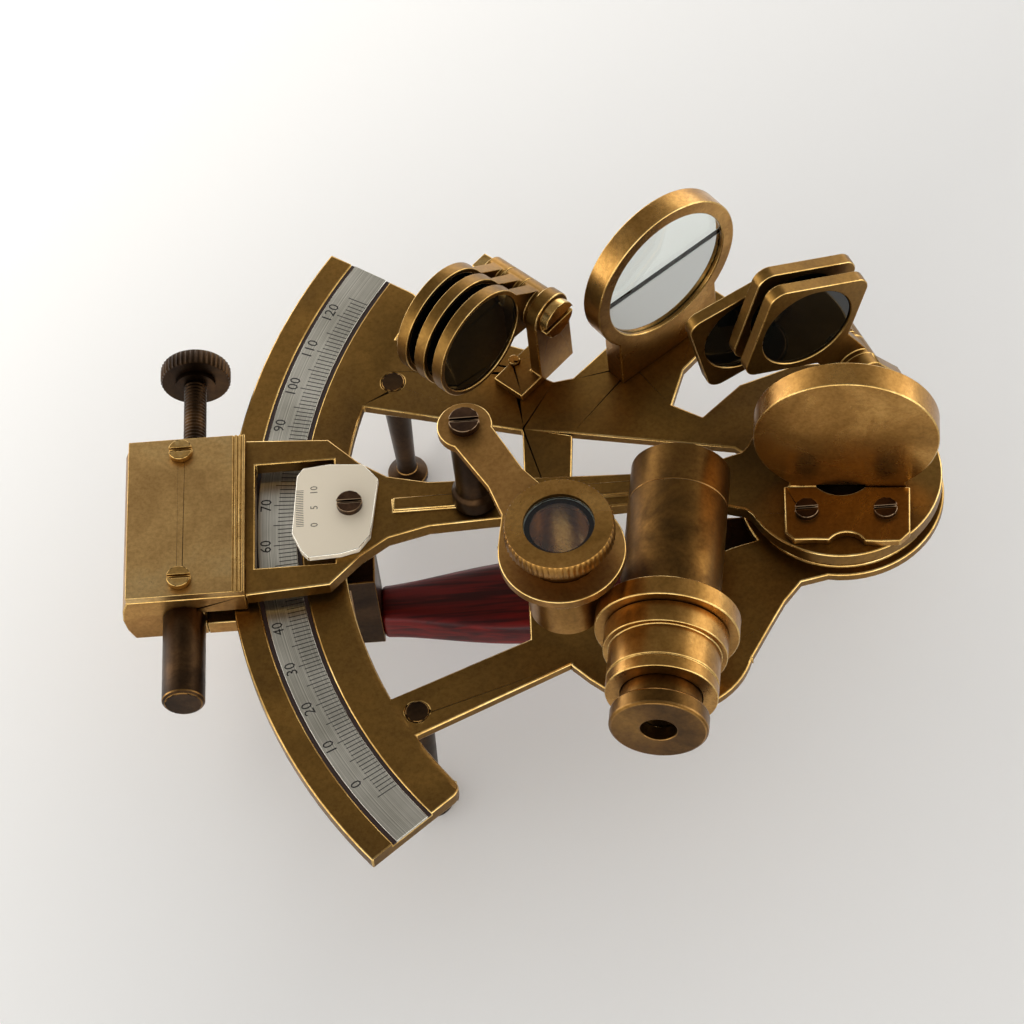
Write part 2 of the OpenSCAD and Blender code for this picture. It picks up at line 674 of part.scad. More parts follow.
module box_body() {
  color(brass) place() difference() {
    translate([0, box_half, 0]) rotate([90, 0, 0]) linear_extrude(box_w) polygon([
      [box_out_x + 1.4, box_low], [box_in_x, box_low], [box_in_x, cover_z], [box_out_x + 1.3, cover_z],
      [box_out_x + 0.3, 2], [box_out_x, -0.6], [box_out_x + 0.4, -3.4]
    ]);
    // slot for the limb, open below where the shoe closes it
    translate([shoe_x[0], -box_half - 1, box_low - 1]) cube([20, box_w + 2, slot_gap - box_low + 1]);
    // seat of the arm's tongue
    translate([box_in_x - tongue_l, -tongue_w / 2, arm_z]) cube([tongue_l + 1, tongue_w, 10]);
    // cavity of the sliding pad
    translate([cavity_x[0], -cavity_half, limb_bottom - slot_gap])
      cube([cavity_x[1] - cavity_x[0], 2 * cavity_half, 20]);
    at_screw() cylinder(d = stem_d + 2 * run, h = 30);
    at_barrel() mirror([0, 0, 1]) cylinder(d = rod_d + 2 * run, h = 30);
    for (p = cover_screw_at) translate([p.x, p.y, cover_z - 2.5]) cylinder(d = 2, h = 5);
  }
}
module box_cover() {
  color(brass) place() difference() {
    translate([box_out_x + 1.3, -box_half, cover_z])
      cube([box_in_x - box_out_x - 1.3, box_w, cover_t]);
    for (p = cover_screw_at) translate([p.x, p.y, 0]) cylinder(d = 2, h = 10);
    for (x = [-102.4, -101.8]) translate([x - 0.12, -20, cover_z + cover_t - 0.2]) cube([0.24, 40, 1]);
    translate([-103.2, -20, cover_z + cover_t - 0.2]) cube([0.24, 40, 1]);
  }
}
module cover_screws() {
  color(bright_brass) place() for (p = cover_screw_at) translate([p.x, p.y, cover_z + cover_t])
    screw(4.1, 1.3, 2, 3.4, 0.8);
}
module limb_shoe() {
  color(brass) place() translate([shoe_x[0], -box_half, box_low])
    cube([shoe_x[1] - shoe_x[0], box_w, limb_bottom - slot_gap - box_low]);
}
barrel_y = -box_half;
barrel_l = 17.2;
barrel_bore = 5.6;
module plunger_barrel() {
  color(dark_brass) place() at_barrel() difference() {
    translate([0, 0, barrel_y - barrel_l]) {
      cylinder(d1 = barrel_d - 1, d2 = barrel_d, h = 0.5);
      translate([0, 0, 0.5]) cylinder(d = barrel_d, h = barrel_l - 0.5);
    }
    translate([0, 0, barrel_y - barrel_l + 1.6]) cylinder(d = barrel_bore, h = barrel_l);
  }
}
// compression spring inside the barrel, at its shortest length
spring_turns = 7;
spring_r = 2.1;
wire_r = 0.32;
spring_l = 11;
ring_sides = 6;
turn_steps = 14;
spring_n = spring_turns * turn_steps;
spring_rise = spring_l - 2 * wire_r;
spring_points = [for (i = [0:spring_n], j = [0:ring_sides - 1])
  let (a = 360 * i / turn_steps, b = 360 * j / ring_sides, r = spring_r + wire_r * cos(b))
    [r * cos(a), r * sin(a), wire_r + spring_rise * i / spring_n + wire_r * sin(b)]];
spring_faces = concat(
  [[for (j = [0:ring_sides - 1]) j]],
  [for (i = [0:spring_n - 1], j = [0:ring_sides - 1]) let (k = (j + 1) % ring_sides)
    [i * ring_sides + j, (i + 1) * ring_sides + j, (i + 1) * ring_sides + k, i * ring_sides + k]],
  [[for (j = [ring_sides - 1:-1:0]) spring_n * ring_sides + j]]
);
module plunger_spring() {
  color(steel) place() at_barrel() translate([0, 0, barrel_y - barrel_l + 1.6])
    polyhedron(spring_points, spring_faces);
}
// the pad that bears on the limb's edge, with the plunger's rod and head
module thrust_pad() {
  color(steel) place() {
    difference() {
      translate([cavity_x[0] + run, -pad_half, pad_z[0]])
        cube([cavity_x[1] - cavity_x[0] - 2 * run, 2 * pad_half, pad_z[1] - pad_z[0]]);
      translate([0, 0, -10]) cylinder(r = limb_r + 0.15, h = 20);
    }
    at_barrel() mirror([0, 0, 1]) translate([0, 0, pad_half - eps])
      cylinder(d = rod_d, h = 13.5 + eps);
    at_barrel() mirror([0, 0, 1]) translate([0, 0, 18]) cylinder(d = barrel_bore - 0.2, h = 1.4);
  }
}
knob_y = 33.2;
knob_t = 3;
module tangent_screw() {
  color(dark_brass) place() at_screw() {
    translate([0, 0, pad_half]) cylinder(d = stem_d, h = knob_y - pad_half + eps);
    translate([0, 0, knob_y]) cylinder(d = knob_d, h = knob_t);
    translate([0, 0, knob_y - 0.8]) cylinder(d = 7, h = 1);
  }
}

// ---------------------------------------------------------------- magnifier
post_r = 2.9;
post_screw_d = 1.6;
post_screw_l = 3.2;
cell_flange_z = 29.8;
cell_top_z = 33.1;
cell_r = 6.4;
cell_low_z = 10.5;
module magnifier_post() {
  color(dark_brass) place() translate([post_at.x, post_at.y, 0]) difference() {
    union() {
      translate([0, 0, arm_z]) cylinder(d = post_stud_d, h = arm_t + rib_h + eps);
      rotate_extrude() polygon([
        [0, arm_top + rib_h], [3.8, arm_top + rib_h], [3.8, arm_top + 3], [post_r, arm_top + 4.4],
        [post_r, magnifier_z - 0.05], [0, magnifier_z - 0.05]
      ]);
      translate([0, 0, magnifier_z - 0.1]) cylinder(d = 3, h = 1.9);
    }
    translate([0, 0, magnifier_z + magnifier_t - post_screw_l]) cylinder(d = post_screw_d, h = 10);
  }
}
swing = magnifier_at - post_at;
module magnifier_arm() {
  color(dark_brass) place() difference() {
    union() {
      translate([0, 0, magnifier_z]) linear_extrude(magnifier_t) {
        translate(post_at) circle(r = 4.6);
        translate(magnifier_at) circle(r = 10.4);
        translate(post_at) rotate(atan2(swing.y, swing.x))
          polygon([[0, -3.7], [13, -3.3], [19, -4.4], [24, -8.2], [24, 8.2], [19, 4.4], [13, 3.3], [0, 3.7]]);
      }
      translate([magnifier_at.x, magnifier_at.y, magnifier_z - 4]) cylinder(r = 7.8, h = 4 + eps);
    }
    translate([magnifier_at.x, magnifier_at.y, 0]) cylinder(r = cell_r + run, h = 40);
    translate([post_at.x, post_at.y, 0]) cylinder(d = 3 + 2 * run, h = 40);
  }
}
module magnifier_screw() {
  color(steel) place() translate([post_at.x, post_at.y, magnifier_z + magnifier_t + 0.05])
    screw(5.1, 1.5, post_screw_d, post_screw_l, 0.8);
}
module magnifier_cell() {
  color(brass) place() translate([magnifier_at.x, magnifier_at.y, 0]) turned([
    [cell_low_z, 5.4], [cell_low_z, cell_r], [cell_flange_z, cell_r], [cell_flange_z, 9],
    [cell_top_z, 9], [cell_top_z, 5.8], [cell_top_z - 1.6, 5.8], [cell_top_z - 1.6, 4.8],
    [cell_top_z - 2.6, 4.8], [cell_top_z - 2.6, 5.4]
  ]);
}
module magnifier_lens() {
  color(glass) place() translate([magnifier_at.x, magnifier_at.y, cell_top_z - 1.6])
    cylinder(r = 5.8, h = 0.9);
}

frame_plate();
scale_band();
leg_arc_high();
leg_arc_low();
leg_pivot();
grip();
grip_bracket_limb();
grip_bracket_pivot();
grip_screws();
telescope_ring();
telescope_ring_screw();
telescope_tube();
objective_cell();
objective_lens();
eyepiece_body();
draw_tube();
eye_lens();
horizon_ring();
horizon_clear_glass();
horizon_silvered_glass();
horizon_screws();
horizon_shade_bracket();
horizon_shade_screw();
horizon_shade_1();
horizon_shade_2();
horizon_shade_3();
horizon_shade_glass_1();
horizon_shade_glass_2();
horizon_shade_glass_3();
index_shade_bracket();
index_shade_screw();
index_shade_1();
index_shade_2();
index_shade_3();
index_shade_glass_1();
index_shade_glass_2();
index_shade_glass_3();
index_arm();
pivot_pin();
pivot_nut();
index_mirror_housing();
index_mirror_glass();
index_mirror_screws();
vernier_plate();
vernier_screw();
box_body();
box_cover();
cover_screws();
limb_shoe();
plunger_barrel();
plunger_spring();
thrust_pad();
tangent_screw();
magnifier_post();
magnifier_arm();
magnifier_screw();
magnifier_cell();
magnifier_lens();
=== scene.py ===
import json
import math
import random

import bmesh
import bpy
import numpy as np
from mathutils import Euler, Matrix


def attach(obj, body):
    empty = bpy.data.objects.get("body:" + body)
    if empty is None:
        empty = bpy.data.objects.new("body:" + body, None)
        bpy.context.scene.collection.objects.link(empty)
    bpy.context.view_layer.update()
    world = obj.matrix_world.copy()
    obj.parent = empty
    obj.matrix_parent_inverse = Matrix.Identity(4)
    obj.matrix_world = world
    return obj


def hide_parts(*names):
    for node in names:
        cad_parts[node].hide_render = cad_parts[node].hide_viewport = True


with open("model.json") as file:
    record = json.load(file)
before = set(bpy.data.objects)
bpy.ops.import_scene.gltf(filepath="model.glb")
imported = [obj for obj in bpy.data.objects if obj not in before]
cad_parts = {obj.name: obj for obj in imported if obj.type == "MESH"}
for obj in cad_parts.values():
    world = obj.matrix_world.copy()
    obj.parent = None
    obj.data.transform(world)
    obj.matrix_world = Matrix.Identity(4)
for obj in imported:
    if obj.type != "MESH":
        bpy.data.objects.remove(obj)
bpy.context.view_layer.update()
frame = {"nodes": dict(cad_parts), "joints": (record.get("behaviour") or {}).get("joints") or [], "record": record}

MM = 0.001
scene = bpy.context.scene
joints = {joint["name"]: joint for joint in frame["joints"]}
# the axis of the index arm on the limb's face: every size below is in millimetres from here
PIVOT = np.array(joints["index_arm_turn"]["pos_m"])


# ---------------------------------------------------------------- camera
# A long lens from above the eye end of the telescope, looking down at the instrument. It stands at
# a fixed place from the arm's pivot, so it keeps its view when the object's box changes.
CAMERA_FROM_PIVOT = (-24.14, -414.41, 579.35)
CAMERA_TURN = (35.412, 4.521, -1.914)
SENSOR_W = 36
LENS = 147.25
camera_data = bpy.data.cameras.new("camera")
camera_data.sensor_width = SENSOR_W
camera_data.lens = LENS
camera = bpy.data.objects.new("camera", camera_data)
camera.location = PIVOT + MM * np.array(CAMERA_FROM_PIVOT)
camera.rotation_euler = Euler([math.radians(a) for a in CAMERA_TURN])
scene.collection.objects.link(camera)
scene.camera = camera


# ---------------------------------------------------------------- studio
# A flat matt white table that runs out of sight, a large soft box above and behind on the left, a
# smaller one in front on the right, and white walls under a grey ceiling for the metal to reflect.
# Places and sizes are in metres here, and power is in watts.
FLOOR_R = 2.5
FLOOR_SIDES = 64
WALL_LIGHT = 3.0
WALL_STOPS = [(0.0, "#F4F3F1"), (0.35, "#E4E3E1"), (0.62, "#6B6967"), (1.0, "#4B4A49")]
LAMPS_FACE = (0, 0, 0.03)
SOFT_BOXES = [("soft_box_left", (-0.75, 0.55, 0.95), 0.7, 72, "#FFFBF4"),
              ("soft_box_right", (0.9, -0.5, 0.9), 0.6, 52, "#F6F9FF")]


def tone(colour):
    """Linear RGBA of an sRGB hex colour: each channel over 255, then the sRGB curve undone."""
    share = np.array([int(colour[i:i + 2], 16) for i in (1, 3, 5)]) / 255
    linear = np.where(share <= 0.04045, share / 12.92, ((share + 0.055) / 1.055) ** 2.4)
    return (*linear.tolist(), 1.0)


def add(tree, kind, settings=None, inputs=None):
    """Adds one shader node; an input is a value, or another node's output socket to link from."""
    made = tree.nodes.new("ShaderNode" + kind)
    for key, value in (settings or {}).items():
        setattr(made, key, value)
    for key, value in (inputs or {}).items():
        socket = made.inputs[key]
        if isinstance(value, bpy.types.NodeSocket):
            tree.links.new(value, socket)
        else:
            socket.default_value = value
    return made


def ramp(tree, factor, stops):
    """A colour ramp through (position, hex colour) stops."""
    made = add(tree, "ValToRGB", inputs={"Fac": factor})
    points = made.color_ramp.elements
    while len(points) < len(stops):
        points.new(0.5)
    for point, (position, colour) in zip(points, stops):
        point.position = position
        point.color = tone(colour)
    return made.outputs["Color"]


def new_material(name):
    """An empty node material with its output, and the tree to build in."""
    material = bpy.data.materials.new(name)
    material.use_nodes = True
    tree = material.node_tree
    tree.nodes.clear()
    return material, tree, add(tree, "OutputMaterial")


def close_with(tree, output, shader):
    """Links a shader node to the material's output."""
    tree.links.new(shader.outputs[0], output.inputs["Surface"])


def white_table():
    """Matt white melamine: an even diffuse white with a faint soft sheen."""
    material, tree, output = new_material("white_melamine_table")
    close_with(tree, output, add(tree, "BsdfPrincipled", inputs={
        "Base Color": tone("#FAFAF9"), "Roughness": 0.75, "IOR": 1.45}))
    return material


def soft_box(name, at, size, power, colour):
    """A square soft box turned to face the instrument."""
    data = bpy.data.lights.new(name, "AREA")
    data.shape = "SQUARE"
    data.size = size
    data.energy = power
    data.color = tone(colour)[:3]
    light = bpy.data.objects.new(name, data)
    light.location = at
    aim = np.array(LAMPS_FACE) - np.array(at)
    turn = math.atan2(aim[1], aim[0])
    tilt = math.atan2(math.hypot(aim[0], aim[1]), -aim[2])
    light.rotation_euler = Euler((0, -tilt, turn + math.pi))
    scene.collection.objects.link(light)


def studio_walls():
    """World light by height: white walls at the horizon, a grey ceiling overhead."""
    world = bpy.data.worlds.new("studio_walls")
    world.use_nodes = True
    tree = world.node_tree
    tree.nodes.clear()
    direction = add(tree, "TexCoord").outputs["Generated"]
    height = add(tree, "SeparateXYZ", inputs={"Vector": direction}).outputs["Z"]
    walls = ramp(tree, height, WALL_STOPS)
    shine = add(tree, "Background", inputs={"Color": walls, "Strength": WALL_LIGHT})
    finish = add(tree, "OutputWorld")
    tree.links.new(shine.outputs[0], finish.inputs["Surface"])
    scene.world = world


def around(count):
    """Angles of a circle in `count` even steps: 2 pi k / count."""
    return np.linspace(0, 2 * np.pi, count + 1)[:-1]


turn = around(FLOOR_SIDES)
disc = np.stack([FLOOR_R * np.cos(turn), FLOOR_R * np.sin(turn), 0 * turn], axis=1)
floor_mesh = bpy.data.meshes.new("table_top")
floor_mesh.from_pydata(disc.tolist(), [], [list(range(len(disc)))])
floor_mesh.materials.append(white_table())
table_top = bpy.data.objects.new("table_top", floor_mesh)
scene.collection.objects.link(table_top)
studio_walls()
for box in SOFT_BOXES:
    soft_box(*box)
scene.view_settings.view_transform = "Standard"


# ---------------------------------------------------------------- frame plate
# One sand casting of brass: limb, struts, ears and pivot boss. It is filed flat, darkened with liver of
# sulphur and rubbed back, so the flats are brown and cloudy and the edges are worn bright, with a
# painted highlight along every rounded edge.

# corners that agree to this many decimals of a metre are one corner
WELD_DECIMALS = 7
# degrees: facets that turn less are one flat, edges that turn more are eased or stay sharp
FLAT_WITHIN = 0.6
EASED_OVER = 42
SHARP_OVER = 40
SLIVER_M = 1e-6
# sizes of the finish, in millimetres
SPECK_MM = 0.7
HAIR_MM = 0.35
HAMMER_MM = 9
# reach of the painted shade in corners, which also stands for grime
GRIME_AND_SHADE_MM = 2.2


def aged_brass(name, patina, metal, rubbed, cloud_mm, rough, brushed=None):
    """Darkened brass rubbed back by hand: cloudy patina over metal, grime and painted shade in the
    corners, and a slow waviness from hand polishing. brushed stretches fine lines along one axis."""
    material, tree, output = new_material(name)
    at = add(tree, "TexCoord").outputs["Object"]
    cloud = add(tree, "TexNoise", inputs={
        "Vector": at, "Scale": 1 / (cloud_mm * MM), "Detail": 5, "Roughness": 0.62,
        "Distortion": 0.5})
    speck = add(tree, "TexNoise", inputs={
        "Vector": at, "Scale": 1 / (SPECK_MM * MM), "Detail": 3, "Roughness": 0.7})
    # painted shade: an ambient-occlusion term darkens the colour in corners and recesses, where shade falls; it
    # also stands for grime
    corner = add(tree, "AmbientOcclusion", {"samples": 4}, {"Distance": GRIME_AND_SHADE_MM * MM})
    colour = ramp(tree, cloud.outputs["Fac"], [(0.34, patina), (0.5, metal), (0.68, rubbed)])
    dusty = add(tree, "Mix", {"data_type": "RGBA", "blend_type": "MULTIPLY"}, {
        "Factor": 0.35, "A": colour,
        "B": ramp(tree, speck.outputs["Fac"], [(0.3, "#8A7A66"), (0.6, "#FFFFFF")])})
    grime_and_painted_shade = add(tree, "Mix", {"data_type": "RGBA", "blend_type": "MULTIPLY"}, {
        "Factor": 0.8, "A": dusty.outputs["Result"],
        "B": ramp(tree, corner.outputs["AO"], [(0.15, "#3A2A1C"), (0.75, "#FFFFFF")])})
    lines = add(tree, "Mapping", inputs={
        "Vector": at, "Scale": brushed or (1, 1, 1)})
    hair = add(tree, "TexNoise", inputs={
        "Vector": lines.outputs["Vector"], "Scale": 1 / (HAIR_MM * MM), "Detail": 2})
    roughness = add(tree, "MapRange", inputs={
        "Value": cloud.outputs["Fac"], "From Min": 0.3, "From Max": 0.7, "To Min": rough + 0.1,
        "To Max": rough - 0.05})
    hammer = add(tree, "TexNoise", inputs={
        "Vector": at, "Scale": 1 / (HAMMER_MM * MM), "Detail": 1})
    wavy = add(tree, "Bump", inputs={
        "Strength": 0.5, "Distance": 0.25 * MM, "Height": hammer.outputs["Fac"]})
    fine = add(tree, "Bump", inputs={
        "Strength": 0.25, "Distance": 0.01 * MM, "Height": hair.outputs["Fac"],
        "Normal": wavy.outputs["Normal"]})
    close_with(tree, output, add(tree, "BsdfPrincipled", inputs={
        "Base Color": grime_and_painted_shade.outputs["Result"], "Metallic": 1.0,
        "Roughness": roughness.outputs["Result"], "Normal": fine.outputs["Normal"]}))
    return material


# olive-brown on the flats, with a slow change to gold; the edges are rubbed to bare metal, and their bright colour
# is also a painted highlight
cast_brass = aged_brass("sand_cast_antiqued_brass", "#6A4E27", "#84622F", "#A0773A",
                        cloud_mm=34, rough=0.34)
worn_and_highlit_brass = aged_brass("worn_edge_with_painted_highlight", "#B08A4C", "#D0A964", "#E6C684",
                          cloud_mm=8, rough=0.24)


def link(mesh, name):
    """Makes a mesh into a smooth-shaded object at the origin."""
    piece = bpy.data.objects.new(name, mesh)
    scene.collection.objects.link(piece)
    mesh.polygons.foreach_set("use_smooth", np.ones(len(mesh.polygons), bool))
    mesh.set_sharp_from_angle(angle=math.radians(SHARP_OVER))
    return piece


def settle(piece, body, slot, finishes, *nodes):
    """Gives a piece its finishes, its body, and the CAD nodes it stands for; the slot argument is not used."""
    for finish in finishes:
        piece.data.materials.append(finish)
    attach(piece, body)
    if nodes:
        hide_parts(*nodes)
    return piece


def body_of(node):
    """The CAD body that a node belongs to."""
    return next(b for b, nodes in frame["record"]["behaviour"]["bodies"].items() if node in nodes)


def slot_of(node):
    """The record's material slot of a node."""
    return next(p["material_slot"] for p in frame["record"]["subparts"] if p["node"] == node)


def eased(node, finish, edge_finish, edge):
    """A CAD node with every sharp edge eased to a small round: the node's triangles are welded,
    flat facets joined, and a bevel of `edge` mm put on, whose faces take the edge finish."""
    source = frame["nodes"][node].data
    points = np.empty(len(source.vertices) * 3)
    source.vertices.foreach_get("co", points)
    corners = np.empty(len(source.loops), int)
    source.loops.foreach_get("vertex_index", corners)
    rounded = points.reshape(-1, 3).round(WELD_DECIMALS)
    welded, where = np.unique(rounded, axis=0, return_inverse=True)
    faces = where.reshape(-1)[corners].reshape(-1, 3)
    real = (faces != np.roll(faces, -1, axis=1)).all(axis=1)
    mesh = bpy.data.meshes.new(node + "_eased")
    mesh.from_pydata(welded.tolist(), [], faces[real].tolist())
    work = bmesh.new()
    work.from_mesh(mesh)
    bmesh.ops.dissolve_limit(work, angle_limit=math.radians(FLAT_WITHIN), verts=work.verts,
                             edges=work.edges)
    # a face with windows in it can't be drawn whole once its edges move, so it is cut up again
    bmesh.ops.triangulate(work, faces=[face for face in work.faces if len(face.verts) > 4])
    bmesh.ops.dissolve_degenerate(work, dist=SLIVER_M, edges=work.edges)
    work.to_mesh(mesh)
    work.free()
    piece = link(mesh, node + "_eased")
    bevel = piece.modifiers.new("eased_edges", "BEVEL")
    bevel.width = edge * MM
    bevel.segments = 2
    bevel.limit_method = "ANGLE"
    bevel.angle_limit = math.radians(EASED_OVER)
    bevel.use_clamp_overlap = False
    # on metal the edge finish is lighter than the flats: worn metal plus a painted highlight along every round
    bevel.material = 1
    # large flat faces keep their own direction and the rounds blend into them
    weighted = piece.modifiers.new("flat_faces_stay_flat", "WEIGHTED_NORMAL")
    weighted.keep_sharp = True
    return settle(piece, body_of(node), slot_of(node), [finish, edge_finish], node)


eased("frame_plate", cast_brass, worn_and_highlit_brass, edge=0.28)


# ---------------------------------------------------------------- groove wax
# Two grooves frame the scale on the limb. Dark red-brown wax was rubbed into them and wiped level,
# so they read as two fine dark lines.
LIMB_FROM = 145.6
LIMB_TO = 219.5
LIMB_STEPS = 240
GROOVES = [(92.36, 93.04), (99.76, 100.44)]
WAX_Z = (-0.6, -0.25)


def plain(name, colour, rough, metallic=0.0, **more):
    """A material of one even colour, with any further shader values by socket name."""
    material, tree, output = new_material(name)
    inputs = {"Base Color": tone(colour), "Roughness": rough, "Metallic": metallic}
    inputs.update({key.replace("_", " "): value for key, value in more.items()})
    close_with(tree, output, add(tree, "BsdfPrincipled", inputs=inputs))
    return material


def to_metres(points):
    """Millimetres from the pivot to metres in the part's frame."""
    return (np.asarray(points, float) * MM + PIVOT).reshape(-1, 3)


def surface(name, points, wrap_rows=False, caps=False):
    """Quads over a grid of points (rows, columns, 3) whose columns close on themselves; wrap_rows
    joins the last row to the first, and caps shuts the first and last rows with a face."""
    rows, columns = points.shape[:2]
    index = np.arange(rows * columns).reshape(rows, columns)
    if wrap_rows:
        index = np.vstack([index, index[:1]])
    beside = np.roll(index, -1, axis=1)
    quads = np.stack([index[:-1], beside[:-1], beside[1:], index[1:]], axis=-1).reshape(-1, 4)
    faces = quads.tolist()
    if caps:
        faces += [index[0].tolist(), index[-1][::-1].tolist()]
    mesh = bpy.data.meshes.new(name)
    mesh.from_pydata(to_metres(points).tolist(), [], faces)
    work = bmesh.new()
    work.from_mesh(mesh)
    bmesh.ops.remove_doubles(work, verts=work.verts, dist=1e-7)
    bmesh.ops.recalc_face_normals(work, faces=work.faces)
    work.to_mesh(mesh)
    work.free()
    return link(mesh, name)


def limb_ring(name, r_in, r_out, low, high):
    """A rectangle of radius r_in to r_out and height low to high, swept from one end of the limb to
    the other: (r cos a, r sin a, z) over even steps of the angle a."""
    angle = np.radians(np.linspace(LIMB_FROM, LIMB_TO, LIMB_STEPS + 1))[:, None]
    radius = np.array([r_in, r_out, r_out, r_in])[None, :]
    height = np.broadcast_to([low, low, high, high], (LIMB_STEPS + 1, 4))
    points = np.stack([radius * np.cos(angle), radius * np.sin(angle), height], axis=-1)
    return surface(name, points, caps=True)


# soft wax after long handling: near black with a red-brown cast, dull
groove_wax = plain("red_brown_engraving_wax", "#2B130B", 0.55)
for side, (r_in, r_out) in zip(("inner", "outer"), GROOVES):
    wax = limb_ring("groove_wax_" + side, r_in, r_out, *WAX_Z)
    settle(wax, "frame", "dark_brass", [groove_wax])


# ---------------------------------------------------------------- scale
# A strip of nickel silver let into the limb between the grooves, drawn along its length with fine
# emery, then engraved from 0 to 120 and filled with black wax. One unit is half a degree of arc.
TICK_W = 0.16
TICK_FROM = 93.15
TICK_SHORT = 96.2
TICK_LONG = 97.0
TICKS = (-5, 125)
LONG_TICK_EVERY = 5
FIGURES = range(0, 121, 10)
MARK_T = 0.012
FIGURE_R = 98.3
FIGURE_SIZE = 2.7
FIGURE_JITTER = 1.2
TARNISH_MM = 11


def drawn_metal(name, dark, light, rough, line_mm):
    """Metal drawn along the limb: the tone changes only with distance from the pivot, as fine
    concentric lines line_mm apart, over a faint cloud of tarnish."""
    material, tree, output = new_material(name)
    at = add(tree, "TexCoord").outputs["Object"]
    centred = add(tree, "Mapping", inputs={
        "Vector": at, "Location": (-PIVOT[0], -PIVOT[1], -PIVOT[2])})
    radius = add(tree, "VectorMath", {"operation": "LENGTH"}, {0: centred.outputs["Vector"]})
    line = add(tree, "TexNoise", {"noise_dimensions": "1D"}, {
        "W": radius.outputs["Value"], "Scale": 1 / (line_mm * MM), "Detail": 3})
    cloud = add(tree, "TexNoise", inputs={
        "Vector": at, "Scale": 1 / (TARNISH_MM * MM), "Detail": 4})
    both = add(tree, "Mix", {"data_type": "FLOAT"}, {
        "Factor": 0.5, "A": line.outputs["Fac"], "B": cloud.outputs["Fac"]})
    groove = add(tree, "Bump", inputs={
        "Strength": 0.3, "Distance": 0.01 * MM, "Height": line.outputs["Fac"]})
    close_with(tree, output, add(tree, "BsdfPrincipled", inputs={
        "Base Color": ramp(tree, both.outputs["Result"], [(0.35, dark), (0.62, light)]),
        "Metallic": 1.0, "Roughness": rough, "Normal": groove.outputs["Normal"]}))
    return material


def prisms(name, corners, low, high):
    """Flat four-cornered marks (count, 4, 2) given a thickness from low to high, as closed
    blocks."""
    count = len(corners)
    tall = np.stack([np.full((count, 4), low), np.full((count, 4), high)], axis=1)
    flat = np.repeat(corners[:, None], 2, axis=1)
    points = np.concatenate([flat, tall[..., None]], axis=-1).reshape(-1, 3)
    side = np.array([[0, 1, 5, 4], [1, 2, 6, 5], [2, 3, 7, 6], [3, 0, 4, 7], [3, 2, 1, 0],
                     [4, 5, 6, 7]])
    faces = (side[None] + 8 * np.arange(count)[:, None, None]).reshape(-1, 4)
    mesh = bpy.data.meshes.new(name)
    mesh.from_pydata(to_metres(points).tolist(), [], faces.tolist())
    return link(mesh, name)


def radial_marks(angles, r_from, r_to, width):
    """Corners of straight marks that point at the pivot: each runs from r_from to r_to along its
    angle in degrees, half its width to either side."""
    a = np.radians(np.asarray(angles, float))
    out = np.stack([np.cos(a), np.sin(a)], axis=-1)
    across = np.stack([-out[:, 1], out[:, 0]], axis=-1) * width / 2
    near = out * np.asarray(r_from, float).reshape(-1, 1)
    far = out * np.asarray(r_to, float).reshape(-1, 1)
    return np.stack([near + across, near - across, far - across, far + across], axis=1)


def limb_angle(degrees):
    """The angle round the pivot of a reading on the limb: 64 lies opposite the arm at rest, and one
    degree of reading is half a degree of arc."""
    return 180 + (64 - degrees) / 2


def figures(name, marks, size, height):
    """Numerals as one mesh. Each mark is (text, x, y, turn): the text is drawn, made a mesh, and
    its points are turned by `turn` degrees and moved to x, y."""
    points, faces, count = [], [], 0
    for text, x, y, turned in marks:
        curve = bpy.data.curves.new(name + "_text", "FONT")
        curve.body = text
        curve.size = size
        curve.extrude = MARK_T
        curve.align_x = "CENTER"
        curve.align_y = "CENTER"
        curve.resolution_u = 2
        drawn = bpy.data.objects.new(name + "_text", curve)
        scene.collection.objects.link(drawn)
        shaped = drawn.evaluated_get(bpy.context.evaluated_depsgraph_get())
        mesh = bpy.data.meshes.new_from_object(shaped)
        local = np.empty(len(mesh.vertices) * 3)
        mesh.vertices.foreach_get("co", local)
        across, up, out = local.reshape(-1, 3).T
        c, s = math.cos(math.radians(turned)), math.sin(math.radians(turned))
        points.append(np.stack([across * c - up * s + x, across * s + up * c + y, out + height],
                               axis=1))
        faces += [[count + v for v in polygon.vertices] for polygon in mesh.polygons]
        count += len(across)
        bpy.data.objects.remove(drawn)
        bpy.data.meshes.remove(mesh)
    joined = bpy.data.meshes.new(name)
    joined.from_pydata(to_metres(np.concatenate(points)).tolist(), [], faces)
    return link(joined, name)


# a cool cream-white with hair-fine lines that follow the limb
nickel_silver = drawn_metal("drawn_nickel_silver", "#A9A596", "#E4E0D3", rough=0.3, line_mm=0.22)
# the strip's edge, filed bright, is painted lighter as a highlight line
filed_and_highlit_nickel = plain("nickel_silver_edge_painted_highlight", "#E9E6DA", 0.2, 1.0)
# dead black and dull, so that the marks read against the metal
black_wax = plain("black_engraving_wax", "#16120F", 0.6)
eased("scale_band", nickel_silver, filed_and_highlit_nickel, edge=0.06)
readings = np.arange(TICKS[0], TICKS[1] + 1)
tick_end = np.where(readings % LONG_TICK_EVERY == 0, TICK_LONG, TICK_SHORT)
tick_corners = radial_marks(limb_angle(readings), np.full(len(readings), TICK_FROM), tick_end,
                            TICK_W)
ticks = prisms("scale_ticks", tick_corners, -MARK_T, MARK_T)
settle(ticks, "frame", "dark_steel", [black_wax])
# each figure was struck with a punch, so none stands quite straight
hand = random.Random(7)
marks = []
for reading in FIGURES:
    angle = limb_angle(reading)
    a = math.radians(angle)
    marks.append((str(reading), FIGURE_R * math.cos(a), FIGURE_R * math.sin(a),
                  angle - 90 + hand.uniform(-FIGURE_JITTER, FIGURE_JITTER)))
settle(figures("scale_figures", marks, FIGURE_SIZE, 0), "frame", "dark_steel", [black_wax])


